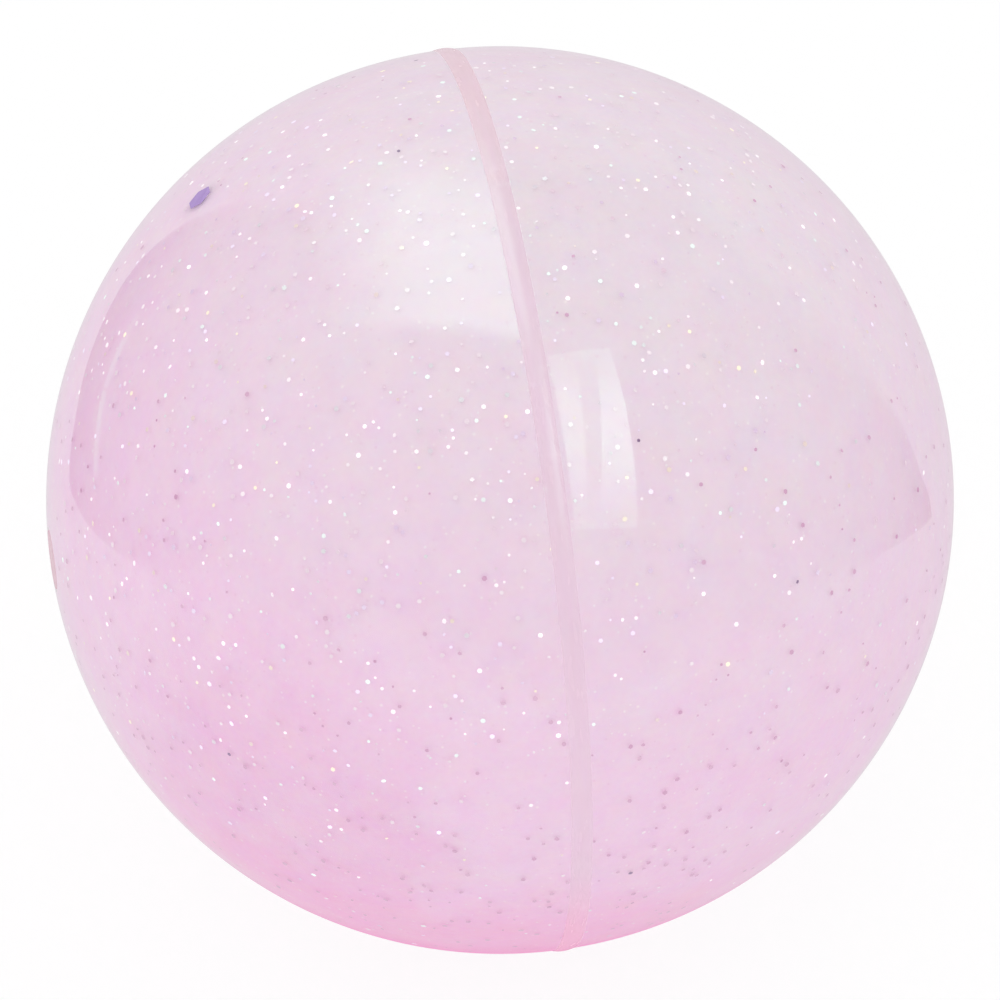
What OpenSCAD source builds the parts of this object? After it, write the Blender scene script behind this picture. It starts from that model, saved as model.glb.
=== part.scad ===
// Liquid-filled glitter bouncy ball.
// Two thick clear moulded halves meet in the YZ plane and are held by a weld ring that stands a
// little proud of the skin. The left half has a filling hole in its pole, closed by a mushroom plug
// that sits on a ring of adhesive. Inside is a clear liquid, with hexagonal glitter near the wall.
// Millimetres. The origin is the centre of the ball, +Z is up and +X runs from the plugged pole to
// the plain one.

/* [Ball] */
// Outside diameter of the ball, over the skin
ball_d = 65; // [45:0.5:100]
// Thickness of the moulded wall
wall_t = 5; // [3.5:0.25:9]

/* [Seam weld] */
// Width of the weld band on the skin
band_w = 1.5; // [1:0.1:3]
// Height of the band's crown above the skin
band_proud = 0.12; // [0.06:0.02:0.4]
// Depth of the rebate in each rim that the band is bedded in
band_depth = 0.9; // [0.5:0.1:1.5]
// Thickness of the weld film between the two rims
film_t = 0.6; // [0.3:0.1:0.9]
// Width of the roll that the weld leaves inside the ball
roll_w = 1.2; // [1:0.1:2]
// Height of that roll above the inner wall
roll_proud = 0.2; // [0.1:0.05:0.4]

/* [Filling plug] */
// Diameter of the plug's head
head_d = 4.6; // [3.6:0.1:8]
// Thickness of the plug's head at its middle
head_t = 1.6; // [1:0.1:2.5]
// Diameter of the plug's stem
stem_d = 2.6; // [1.5:0.1:3]
// Length of the lead-in cone at the stem's tip
lead_in = 0.6; // [0.3:0.1:1]
// Play all round the plug in its stepped hole
plug_play = 0.05; // [0.02:0.01:0.15]
// Thickness of the adhesive under the head
bond_t = 0.2; // [0.1:0.05:0.4]

/* [Glitter] */
// Number of glitter flakes near the wall
flake_count = 240; // [48:12:480]
// Width of a flake across its flats
flake_w = 0.4; // [0.2:0.05:0.8]
// Thickness of a flake
flake_t = 0.05; // [0.03:0.01:0.1]
// Steepest lean of a flake from lying flat to the wall, in degrees
flake_lean = 15; // [0:1:20]
// Width of a sequin across its flats
sequin_w = 1.6; // [0.8:0.1:2.4]
// Thickness of a sequin
sequin_t = 0.1; // [0.05:0.01:0.2]
// Clear space kept above and below the glitter, so that it can swirl past the weld's roll
swirl_gap = 0.25; // [0.15:0.05:0.4]

/* [Hidden] */

$fn = 96;

// Radii of the skin and of the cavity
ball_r = ball_d / 2;
cavity_r = ball_r - wall_t;

// Radius of the rebate's floor, where the band is bedded
bed_r = ball_r - band_depth;

// Room that a cut takes beyond the solid it cuts
overrun = wall_t;

// Floor of the plug's counterbore, and the radius where the head begins
bond_x = ball_r - head_t - bond_t;
head_x = bond_x + bond_t;

// Glitter lies in a thin shell of liquid between the weld's roll and the rest of the liquid
glitter_r = cavity_r - roll_proud - swirl_gap;
flake_rise = flake_t + 2 * corner_r(flake_w) * sin(flake_lean);
liquid_r = glitter_r - max(sequin_t, flake_rise) - swirl_gap;

// Repeating mix of the glitter's colours
mix = ["pearl", "rose", "mint", "lilac", "pearl", "rose", "gold", "pearl", "mint", "rose", "lilac",
       "violet"];

// Turn in degrees from one flake to the next that spreads them evenly over a sphere
golden_angle = 180 * (3 - sqrt(5));

// Each flake strays from its even place by up to this share of the spacing between flakes
stray_share = 0.22;
flake_spacing_deg = sqrt(4 * PI / flake_count) * 180 / PI;
stray_deg = stray_share * flake_spacing_deg;
strays = rands(-stray_deg, stray_deg, 2 * flake_count, 7);
spins = rands(0, 60, flake_count, 11);
leans = rands(0, flake_lean, flake_count, 13);
lean_turns = rands(0, 360, flake_count, 17);

// Sequins by hand: [azimuth from +X, height above the equator, spin], in degrees
sequin_angles = [[141.4, 38.5, 12], [62, -24, 40], [108, -58, 25]];

// Corner radius of a hexagon from its width across flats
function corner_r(width) = width / 2 / cos(30);

// Radius of the arc that crowns a strip of this width to this height
function crown_r(width, height) = (pow(width / 2, 2) + pow(height, 2)) / (2 * height);

// Unit vector towards a place given as azimuth and height above the equator
function towards(place) = [
    cos(place[1]) * cos(place[0]),
    cos(place[1]) * sin(place[0]),
    sin(place[1])
];

// Azimuth, height and spin of flake i on an even spiral over the sphere, with its stray
function flake_place(i) = [
    i * golden_angle + strays[2 * i],
    asin(1 - (2 * i + 1) / flake_count) + strays[2 * i + 1],
    spins[i]
];

// Whether a flake's place is clear of every sequin
function is_clear(place) = let (
    reach = corner_r(sequin_w) + corner_r(flake_w) + swirl_gap,
    gaps = [for (s = sequin_angles) glitter_r * norm(towards(place) - towards(s))]
) min(gaps) > reach;

// Turns a shape made about Z so that it lies about X
module about_x() {
    rotate([0, 90, 0])
        children();
}

// Section of a moulded half, with the radius along X and the way to its pole along Y
module half_section() {
    difference() {
        intersection() {
            circle(r = ball_r);
            translate([0, film_t / 2])
                square([ball_r, ball_r]);
        }
        circle(r = cavity_r);
        translate([bed_r, 0])
            square([band_depth + overrun, band_w / 2]);
    }
}

// Moulded half: a thick clear bowl with a rebate for the weld band round its rim
module half_shell() {
    about_x()
        rotate_extrude()
            half_section();
}

// Stepped filling hole through a pole
module filling_hole() {
    about_x() {
        cylinder(d = stem_d + 2 * plug_play, h = ball_r);
        translate([0, 0, bond_x])
            cylinder(d = head_d + 2 * plug_play, h = ball_r);
    }
}

module left_half_shell() {
    color([0.95, 0.82, 0.9, 0.45])
        mirror([1, 0, 0])
            difference() {
                half_shell();
                filling_hole();
            }
}

module right_half_shell() {
    color([0.95, 0.84, 0.91, 0.45])
        half_shell();
}

// Section of the weld, with the radius along X and the ball's axis along Y
module weld_section() {
    edge_r = sqrt(pow(ball_r, 2) - pow(band_w / 2, 2));
    band_rise = ball_r + band_proud - edge_r;
    band_crown_r = crown_r(band_w, band_rise);
    roll_crown_r = crown_r(roll_w, roll_proud);
    film_r = cavity_r - roll_proud / 2;

    // Band, bedded in the rebates up to the skin
    translate([bed_r, -band_w / 2])
        square([edge_r - bed_r, band_w]);

    // Its crown above the skin
    intersection() {
        translate([ball_r + band_proud - band_crown_r, 0])
            circle(r = band_crown_r);
        translate([edge_r, -band_w])
            square([band_w, 2 * band_w]);
    }

    // Film between the two rims
    translate([film_r, -film_t / 2])
        square([bed_r - film_r, film_t]);

    // Roll on the inner wall
    intersection() {
        circle(r = cavity_r);
        translate([cavity_r - roll_proud + roll_crown_r, 0])
            circle(r = roll_crown_r);
    }
}

module seam_weld() {
    color([0.93, 0.74, 0.78])
        about_x()
            rotate_extrude()
                weld_section();
}

// Mushroom plug: a head that follows the skin, and a stem with a lead-in at its tip
module fill_plug() {
    stem_end = cavity_r + plug_play;
    color([0.86, 0.45, 0.55])
        mirror([1, 0, 0])
            about_x() {
                intersection() {
                    sphere(r = ball_r);
                    translate([0, 0, head_x])
                        cylinder(d = head_d, h = ball_r);
                }
                translate([0, 0, stem_end + lead_in])
                    cylinder(d = stem_d, h = head_x + head_t / 2 - stem_end - lead_in);
                translate([0, 0, stem_end])
                    cylinder(d1 = stem_d - lead_in, d2 = stem_d, h = lead_in);
            }
}

// Ring of adhesive between the head and the floor of its counterbore
module plug_bond() {
    color([0.98, 0.93, 0.95])
        mirror([1, 0, 0])
            about_x()
                translate([0, 0, bond_x])
                    difference() {
                        cylinder(d = head_d, h = bond_t);
                        translate([0, 0, -overrun])
                            cylinder(d = stem_d, h = bond_t + 2 * overrun);
                    }
}

module glitter_liquid() {
    color([0.91, 0.78, 0.88])
        sphere(r = liquid_r);
}

// One hexagon on the glitter's sphere, which its highest corner just reaches. It leans by an angle
// from lying flat to the wall, towards the side that the turn gives.
module hexagon(place, width, thickness, lean = 0, turn = 0) {
    rise = corner_r(width) * sin(lean);
    rotate([0, 90 - place[1], place[0]])
        translate([0, 0, glitter_r - thickness / 2 - rise])
            rotate([0, 0, turn])
                rotate([lean, 0, 0])
                    rotate([0, 0, place[2]])
                        cylinder(r = corner_r(width), h = thickness, center = true, $fn = 6);
}

// Every flake of one colour in the mix
module glitter(colour) {
    for (i = [0 : flake_count - 1])
        if (mix[i % len(mix)] == colour && is_clear(flake_place(i)))
            hexagon(flake_place(i), flake_w, flake_t, leans[i], lean_turns[i]);
}

module glitter_pearl() {
    color("white")
        glitter("pearl");
}

module glitter_rose() {
    color([0.85, 0.5, 0.66])
        glitter("rose");
}

module glitter_mint() {
    color([0.78, 0.95, 0.85])
        glitter("mint");
}

module glitter_lilac() {
    color([0.82, 0.76, 0.96])
        glitter("lilac");
}

module glitter_gold() {
    color([0.96, 0.92, 0.6])
        glitter("gold");
}

module glitter_violet() {
    color([0.45, 0.33, 0.5])
        glitter("violet");
}

module hex_sequins() {
    color([0.6, 0.45, 0.78])
        for (place = sequin_angles)
            hexagon(place, sequin_w, sequin_t);
}

left_half_shell();
right_half_shell();
seam_weld();
fill_plug();
plug_bond();
glitter_liquid();
glitter_pearl();
glitter_rose();
glitter_mint();
glitter_lilac();
glitter_gold();
glitter_violet();
hex_sequins();
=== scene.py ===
"""Looks of a clear pink glitter bouncy ball, built round its packed construction.

Two clear moulded halves and the weld between them hold a pearly pink liquid full of glitter, and a plug
closes the filling hole. Each sub-assembly is a class that builds its meshes and dresses them. Sizes are
written in millimetres. Meshes are in metres, in the frame of the construction: the ball's centre is the
origin, +Z is up and +X runs from the plugged pole to the plain one.
"""

import logging
import math
import random
from collections.abc import Iterator
from dataclasses import dataclass, field
from enum import Enum
from itertools import product
from operator import add

import bmesh
import bpy
from mathutils import Matrix, Vector, noise

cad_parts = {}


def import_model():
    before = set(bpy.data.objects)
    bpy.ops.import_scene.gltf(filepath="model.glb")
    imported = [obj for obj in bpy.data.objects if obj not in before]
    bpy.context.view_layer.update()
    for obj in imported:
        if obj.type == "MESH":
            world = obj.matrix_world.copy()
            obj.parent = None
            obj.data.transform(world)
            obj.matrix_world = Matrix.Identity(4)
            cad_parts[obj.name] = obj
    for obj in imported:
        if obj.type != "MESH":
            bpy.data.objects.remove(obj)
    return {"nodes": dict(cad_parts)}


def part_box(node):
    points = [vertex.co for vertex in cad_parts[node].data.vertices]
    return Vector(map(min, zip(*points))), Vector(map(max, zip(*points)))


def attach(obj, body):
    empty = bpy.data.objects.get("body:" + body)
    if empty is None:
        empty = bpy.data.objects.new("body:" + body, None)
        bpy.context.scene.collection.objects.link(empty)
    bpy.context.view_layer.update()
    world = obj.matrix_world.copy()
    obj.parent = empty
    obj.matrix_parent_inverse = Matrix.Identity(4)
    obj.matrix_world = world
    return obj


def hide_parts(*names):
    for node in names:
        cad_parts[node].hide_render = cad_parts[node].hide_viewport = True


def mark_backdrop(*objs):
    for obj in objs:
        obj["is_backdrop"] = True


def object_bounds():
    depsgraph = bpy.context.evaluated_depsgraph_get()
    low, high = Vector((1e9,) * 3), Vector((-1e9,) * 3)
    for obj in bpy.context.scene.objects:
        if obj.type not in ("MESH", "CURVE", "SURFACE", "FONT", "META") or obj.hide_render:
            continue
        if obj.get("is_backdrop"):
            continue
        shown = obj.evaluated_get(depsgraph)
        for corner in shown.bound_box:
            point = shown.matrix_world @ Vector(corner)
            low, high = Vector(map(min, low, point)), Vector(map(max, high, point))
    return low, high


LOG = logging.getLogger("bouncy_ball")

MM = 0.001
MERGE = 0.0001 * MM
SNAP = 0.01 * MM
SHARP_ANGLE = math.radians(40)
FULL_TURN = math.radians(360)
HEX_SIDES = 6
HEX_HALF_ANGLE = FULL_TURN / HEX_SIDES / 2

# Index of refraction of the clear rubber
CLEAR_IOR = 1.5

# Clear faces that one line of sight may cross: wall, weld, plug and adhesive lie inside each other
CLEAR_LAYERS = 32

# Sockets of a colour Mix node, which share their names with its other sockets
MIX_FACTOR = 0
MIX_A = 6
MIX_B = 7
MIX_RESULT = 2

# Types that recur: parts of a node tree, a direction, a place in the photograph, flakes by cell
Tree = bpy.types.NodeTree
Socket = bpy.types.NodeSocket
Way = tuple[float, float, float]
Pixel = tuple[float, float]
Cells = dict[tuple[int, ...], list[Vector]]


def linear(colour: str) -> tuple[float, float, float, float]:
    """Turns an sRGB colour into linear light.

    Args:
        colour: Colour as "#RRGGBB".

    Returns:
        Linear red, green and blue, and an alpha of 1.
    """
    parts = [int(colour[i:i + 2], 16) / 255 for i in (1, 3, 5)]
    red, green, blue = (p / 12.92 if p <= 0.04045 else ((p + 0.055) / 1.055) ** 2.4 for p in parts)
    return red, green, blue, 1.0


def per_metre(size_mm: float) -> float:
    """Texture scale at which one cell or wave is this many millimetres long."""
    return 1 / (size_mm * MM)


def add_node(
    tree: Tree,
    kind: str,
    inputs: dict[str | int, object] | None = None,
    **settings: object,
) -> bpy.types.Node:
    """Adds a node with its settings and links.

    Args:
        tree: Node tree that gets the node.
        kind: Blender's name for the kind of node.
        inputs: Value of each named or numbered input, or the output socket that is linked to it.
        settings: Properties of the node.

    Returns:
        The new node.
    """
    node = tree.nodes.new(kind)
    for name, value in settings.items():
        setattr(node, name, value)
    for key, value in (inputs or {}).items():
        if isinstance(value, Socket):
            tree.links.new(value, node.inputs[key])
        else:
            node.inputs[key].default_value = value
    return node


def start_material(name: str) -> tuple[bpy.types.Material, Tree]:
    """Makes an empty node material.

    Args:
        name: Name of the material.

    Returns:
        The material and its node tree.
    """
    material = bpy.data.materials.new(name)
    material.use_nodes = True
    material.node_tree.nodes.clear()
    return material, material.node_tree


def any_ray(tree: Tree, *kinds: str) -> Socket:
    """Adds nodes that tell some kinds of ray from the rest.

    Args:
        tree: Node tree that gets the nodes.
        kinds: Blender's names for the kinds of ray.

    Returns:
        Socket that is 1 for a ray of any of the kinds and 0 for any other.
    """
    path = add_node(tree, "ShaderNodeLightPath")
    found = path.outputs[kinds[0]]
    for kind in kinds[1:]:
        found = add_node(
            tree, "ShaderNodeMath", {0: found, 1: path.outputs[kind]}, operation="MAXIMUM"
        ).outputs[0]
    return found


def end_material(tree: Tree, shader: bpy.types.Node) -> None:
    """Links a shader to the material's output."""
    add_node(tree, "ShaderNodeOutputMaterial", {"Surface": shader.outputs[0]})


def add_object(name: str, mesh: bmesh.types.BMesh, materials: list[bpy.types.Material]) -> bpy.types.Object:
    """Makes an object of a finished mesh, smooth but for its sharp edges.

    Args:
        name: Name of the object.
        mesh: Finished mesh, which is freed.
        materials: Materials in the order of the faces' material numbers.

    Returns:
        The new object, at the origin.
    """
    for face in mesh.faces:
        face.smooth = True
    for edge in mesh.edges:
        edge.smooth = not edge.is_manifold or edge.calc_face_angle() < SHARP_ANGLE
    data = bpy.data.meshes.new(name)
    mesh.to_mesh(data)
    mesh.free()
    for material in materials:
        data.materials.append(material)
    made = bpy.data.objects.new(name, data)
    bpy.context.scene.collection.objects.link(made)
    return made


def dress_node(node: bpy.types.Object, material: bpy.types.Material) -> None:
    """Gives a node of the construction a finished material."""
    node.data.materials.clear()
    node.data.materials.append(material)


class BallSizes:
    """Sizes that several pieces share, in metres, read from the construction or written as it has them.

    Attributes:
        ball_r: Radius of the skin.
        cavity_r: Radius of the cavity.
        bed_r: Radius of the floor of the rebates that the weld band is bedded in.
        rim_x: Distance of each half's rim from the seam's plane.
        band_x: Half the width of the weld band.
        stem_r: Radius of the plug's stem.
    """

    wall_mm = 5.0
    rebate_mm = 0.9
    stem_mm = 2.6

    def __init__(self) -> None:
        """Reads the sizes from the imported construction."""
        rim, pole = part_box("right_half_shell")
        self.ball_r: float = pole.x
        self.rim_x: float = rim.x
        self.band_x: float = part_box("seam_weld")[1].x
        self.cavity_r = self.ball_r - self.wall_mm * MM
        self.bed_r = self.ball_r - self.rebate_mm * MM
        self.stem_r = self.stem_mm * MM / 2


class Section:
    """Outline of a turned piece, where X runs along the ball's axis and Z is the radius about it."""

    def __init__(self, x: float, radius: float) -> None:
        """Starts the outline at a point."""
        self.mesh = bmesh.new()
        self.first = self.mesh.verts.new((x, 0, radius))
        self.tip = self.first

    def line_to(self, x: float, radius: float) -> None:
        """Draws a straight line to a point."""
        end = self.mesh.verts.new((x, 0, radius))
        self.mesh.edges.new((self.tip, end))
        self.tip = end

    def arc(self, centre: tuple[float, float], angle: float, steps: int) -> None:
        """Draws an arc from the outline's tip.

        Args:
            centre: X and radius of the arc's centre.
            angle: Turn in radians, positive from the radius towards +X.
            steps: Number of edges in the arc.
        """
        turned = bmesh.ops.spin(
            self.mesh,
            geom=[self.tip],
            cent=(centre[0], 0, centre[1]),
            axis=(0, 1, 0),
            angle=angle,
            steps=steps,
        )
        self.tip = next(part for part in turned["geom_last"] if isinstance(part, bmesh.types.BMVert))

    def close(self) -> None:
        """Draws a straight line back to the start."""
        self.mesh.edges.new((self.tip, self.first))

    def turn(self, steps: int, mirrored: bool = False) -> bmesh.types.BMesh:
        """Turns the outline about the ball's axis into a closed solid.

        Args:
            steps: Number of faces round the axis.
            mirrored: Whether the solid lies on the -X side instead.

        Returns:
            The solid, with its faces outwards.
        """
        bmesh.ops.spin(
            self.mesh,
            geom=self.mesh.verts[:] + self.mesh.edges[:],
            axis=(1, 0, 0),
            angle=FULL_TURN,
            steps=steps,
            use_merge=True,
        )
        bmesh.ops.remove_doubles(self.mesh, verts=self.mesh.verts, dist=MERGE)
        if mirrored:
            bmesh.ops.scale(self.mesh, verts=self.mesh.verts, vec=(-1, 1, 1))
        bmesh.ops.recalc_face_normals(self.mesh, faces=self.mesh.faces)
        return self.mesh


@dataclass(frozen=True)
class ClearRubber:
    """Clear thermoplastic rubber, moulded in a polished tool.

    It gives the eye a sharp gloss over a slight ripple, where the thick wall shrank as it set. Light on
    its way to and from the liquid passes unbent, as if it had scattered in from all round.
    """

    name: str = "clear_thermoplastic_rubber"
    tint: str = "#FFF8FB"
    gloss_low: float = 0.02
    gloss_high: float = 0.07
    ripple_mm: float = 6.0
    ripple_depth_mm: float = 0.003

    def make(self) -> bpy.types.Material:
        """Makes the material of the outer skin."""
        material, tree = start_material(self.name)
        place = add_node(tree, "ShaderNodeTexCoord").outputs["Object"]
        ripple = add_node(
            tree,
            "ShaderNodeTexNoise",
            {"Vector": place, "Scale": per_metre(self.ripple_mm), "Detail": 1.0},
        )
        gloss = add_node(
            tree,
            "ShaderNodeMapRange",
            {"Value": ripple.outputs[0], "To Min": self.gloss_low, "To Max": self.gloss_high},
        )
        bump = add_node(
            tree,
            "ShaderNodeBump",
            {"Height": ripple.outputs[0], "Strength": 1.0, "Distance": self.ripple_depth_mm * MM},
        )
        glass = add_node(
            tree,
            "ShaderNodeBsdfPrincipled",
            {
                "Base Color": linear(self.tint),
                "Roughness": gloss.outputs["Result"],
                "IOR": CLEAR_IOR,
                "Transmission Weight": 1.0,
                "Normal": bump.outputs["Normal"],
            },
        )
        clear = add_node(tree, "ShaderNodeBsdfTransparent")
        unbent = any_ray(tree, "Is Shadow Ray", "Is Diffuse Ray", "Is Glossy Ray")
        mixed = add_node(
            tree, "ShaderNodeMixShader", {0: unbent, 1: glass.outputs[0], 2: clear.outputs[0]}
        )
        end_material(tree, mixed)
        return material

    def make_wetted(self) -> bpy.types.Material:
        """Makes the material of the faces that the liquid or the weld wets, which don't show."""
        material, tree = start_material(self.name + "_wetted")
        end_material(tree, add_node(tree, "ShaderNodeBsdfTransparent"))
        return material


@dataclass(frozen=True)
class Tint:
    """Colour on one side of the ball, from a share of the reach along a way to its full at the reach."""

    colour: str
    way: Way
    start: float


@dataclass(frozen=True)
class PinkShade:
    """Pink that shades over the ball, from one colour into others on some of its sides."""

    middle: str
    tints: tuple[Tint, ...]

    def colour(
        self,
        tree: Tree,
        place: Socket,
        reach: float,
        drift: Socket | float = 0.0,
    ) -> Socket:
        """Adds the nodes of the shade.

        Args:
            tree: Node tree of the material.
            place: Socket with the place on the surface.
            reach: Distance from the centre to either end of the shade.
            drift: Socket that moves the shade to and fro.

        Returns:
            Socket with the colour.
        """
        colour = linear(self.middle)
        for tint in self.tints:
            along = add_node(tree, "ShaderNodeVectorMath", {0: place, 1: tint.way}, operation="DOT_PRODUCT")
            height = add_node(
                tree, "ShaderNodeMath", {0: along.outputs["Value"], 1: drift}, operation="ADD"
            )
            share = add_node(
                tree,
                "ShaderNodeMapRange",
                {"Value": height.outputs[0], "From Min": tint.start * reach, "From Max": reach},
                interpolation_type="SMOOTHSTEP" if tint.start else "LINEAR",
            )
            colour = add_node(
                tree,
                "ShaderNodeMix",
                {MIX_FACTOR: share.outputs["Result"], MIX_A: colour, MIX_B: linear(tint.colour)},
                data_type="RGBA",
            ).outputs[MIX_RESULT]
        return colour


@dataclass(frozen=True)
class Veil:
    """How much a cloudy clear material hides of what is behind it.

    Its front hides a share and its back nothing, so a thin ring is as cloudy as a thick one, and light
    on its way to and from the liquid passes.
    """

    hides: float

    def cover(
        self,
        tree: Tree,
        shader: bpy.types.Node,
        behind: bpy.types.Node | None = None,
    ) -> bpy.types.Node:
        """Thins a shader out.

        Args:
            tree: Node tree of the material.
            shader: Shader of the cloudy material itself.
            behind: Shader of what is clear in it, if that bends the view.

        Returns:
            The shader with what is behind it showing through.
        """
        back = add_node(tree, "ShaderNodeNewGeometry").outputs["Backfacing"]
        passing = any_ray(tree, "Is Shadow Ray", "Is Diffuse Ray", "Is Glossy Ray")
        unseen = add_node(tree, "ShaderNodeMath", {0: back, 1: passing}, operation="MAXIMUM").outputs[0]
        clear = add_node(tree, "ShaderNodeBsdfTransparent")
        veiled = add_node(
            tree,
            "ShaderNodeMixShader",
            {0: self.hides, 1: (behind or clear).outputs[0], 2: shader.outputs[0]},
        )
        return add_node(
            tree, "ShaderNodeMixShader", {0: unseen, 1: veiled.outputs[0], 2: clear.outputs[0]}
        )


@dataclass(frozen=True)
class WeldRubber:
    """Clear rubber that was melted and pressed out of the joint.

    It has set with a satin skin and is a little cloudy, so it shows as a salmon veil over the pink
    behind it, with faint streaks along the joint.
    """

    name: str
    veil: Veil
    on_skin: bool
    # Salmon towards the top and +Y end of the seam and a deeper pink towards its bottom; the deeper pink
    # below is partly painted light, as in the liquid.
    shade: PinkShade = PinkShade("#E8CADC", (
        Tint("#E8C2CC", (0.0, 0.753, 0.658), 0.5),
        Tint("#FAB0CF", (0.0, -0.753, -0.658), 0.8),
    ))
    clear: str = "#FFF8FB"
    streak_share: float = 0.16
    roughness_low: float = 0.2
    roughness_high: float = 0.32
    streak_mm: float = 3.0
    streak_stretch: float = 6.0
    bump_mm: float = 0.006

    def make(self, ball_r: float) -> bpy.types.Material:
        """Makes the material.

        Args:
            ball_r: Radius of the ball, over which the colour shades.

        Returns:
            The material.
        """
        material, tree = start_material(self.name)
        place = add_node(tree, "ShaderNodeTexCoord").outputs["Object"]
        stretched = add_node(
            tree, "ShaderNodeMapping", {"Vector": place, "Scale": (self.streak_stretch, 1.0, 1.0)}
        )
        streaks = add_node(
            tree,
            "ShaderNodeTexNoise",
            {"Vector": stretched.outputs[0], "Scale": per_metre(self.streak_mm), "Detail": 3.0},
        )
        streaked = add_node(
            tree,
            "ShaderNodeMix",
            {
                MIX_FACTOR: self.streak_share,
                MIX_A: self.shade.colour(tree, place, ball_r),
                MIX_B: streaks.outputs["Color"],
            },
            data_type="RGBA",
            blend_type="SOFT_LIGHT",
        )
        rough = add_node(
            tree,
            "ShaderNodeMapRange",
            {
                "Value": streaks.outputs[0],
                "To Min": self.roughness_low,
                "To Max": self.roughness_high,
            },
        )
        bump = add_node(
            tree,
            "ShaderNodeBump",
            {"Height": streaks.outputs[0], "Strength": 1.0, "Distance": self.bump_mm * MM},
        )
        rubber = add_node(
            tree,
            "ShaderNodeBsdfPrincipled",
            {
                "Base Color": streaked.outputs[MIX_RESULT],
                "Roughness": rough.outputs["Result"],
                "Normal": bump.outputs["Normal"],
            },
        )
        clear = None
        if self.on_skin:
            clear = add_node(
                tree,
                "ShaderNodeBsdfPrincipled",
                {
                    "Base Color": linear(self.clear),
                    "Roughness": self.roughness_low,
                    "IOR": CLEAR_IOR,
                    "Transmission Weight": 1.0,
                },
            )
        end_material(tree, self.veil.cover(tree, rubber, clear))
        return material


@dataclass(frozen=True)
class PlugRubber:
    """Cloudy pink thermoplastic rubber, moulded in a bead-blasted tool.

    It is a milky salmon pink with a fine matt grain, a little deeper than the wall round it.
    """

    name: str = "pink_thermoplastic_rubber"
    colour: str = "#E8B4C6"
    shade: str = "#DFA5BA"
    grain_mm: float = 0.35
    bump_mm: float = 0.01
    roughness: float = 0.45
    veil: Veil = Veil(0.6)

    def make(self) -> bpy.types.Material:
        """Makes the material."""
        material, tree = start_material(self.name)
        place = add_node(tree, "ShaderNodeTexCoord").outputs["Object"]
        grain = add_node(
            tree,
            "ShaderNodeTexNoise",
            {"Vector": place, "Scale": per_metre(self.grain_mm), "Detail": 2.0},
        )
        mottled = add_node(
            tree,
            "ShaderNodeMix",
            {
                MIX_FACTOR: grain.outputs[0],
                MIX_A: linear(self.colour),
                MIX_B: linear(self.shade),
            },
            data_type="RGBA",
        )
        bump = add_node(
            tree,
            "ShaderNodeBump",
            {"Height": grain.outputs[0], "Strength": 1.0, "Distance": self.bump_mm * MM},
        )
        rubber = add_node(
            tree,
            "ShaderNodeBsdfPrincipled",
            {
                "Base Color": mottled.outputs[MIX_RESULT],
                "Roughness": self.roughness,
                "Normal": bump.outputs["Normal"],
            },
        )
        end_material(tree, self.veil.cover(tree, rubber))
        return material


@dataclass(frozen=True)
class Adhesive:
    """Cured clear adhesive: glossy and faintly pink, with small bubbles that cloud it a little."""

    name: str = "cured_acrylic_adhesive"
    colour: str = "#F1DDE4"
    cloud: str = "#FAF3F6"
    bubble_mm: float = 0.3
    roughness: float = 0.2
    veil: Veil = Veil(0.15)

    def make(self) -> bpy.types.Material:
        """Makes the material."""
        material, tree = start_material(self.name)
        place = add_node(tree, "ShaderNodeTexCoord").outputs["Object"]
        bubbles = add_node(
            tree, "ShaderNodeTexVoronoi", {"Vector": place, "Scale": per_metre(self.bubble_mm)}
        )
        clouded = add_node(
            tree,
            "ShaderNodeMix",
            {
                MIX_FACTOR: bubbles.outputs["Distance"],
                MIX_A: linear(self.cloud),
                MIX_B: linear(self.colour),
            },
            data_type="RGBA",
        )
        glue = add_node(
            tree,
            "ShaderNodeBsdfPrincipled",
            {"Base Color": clouded.outputs[MIX_RESULT], "Roughness": self.roughness},
        )
        end_material(tree, self.veil.cover(tree, glue))
        return material


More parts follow.
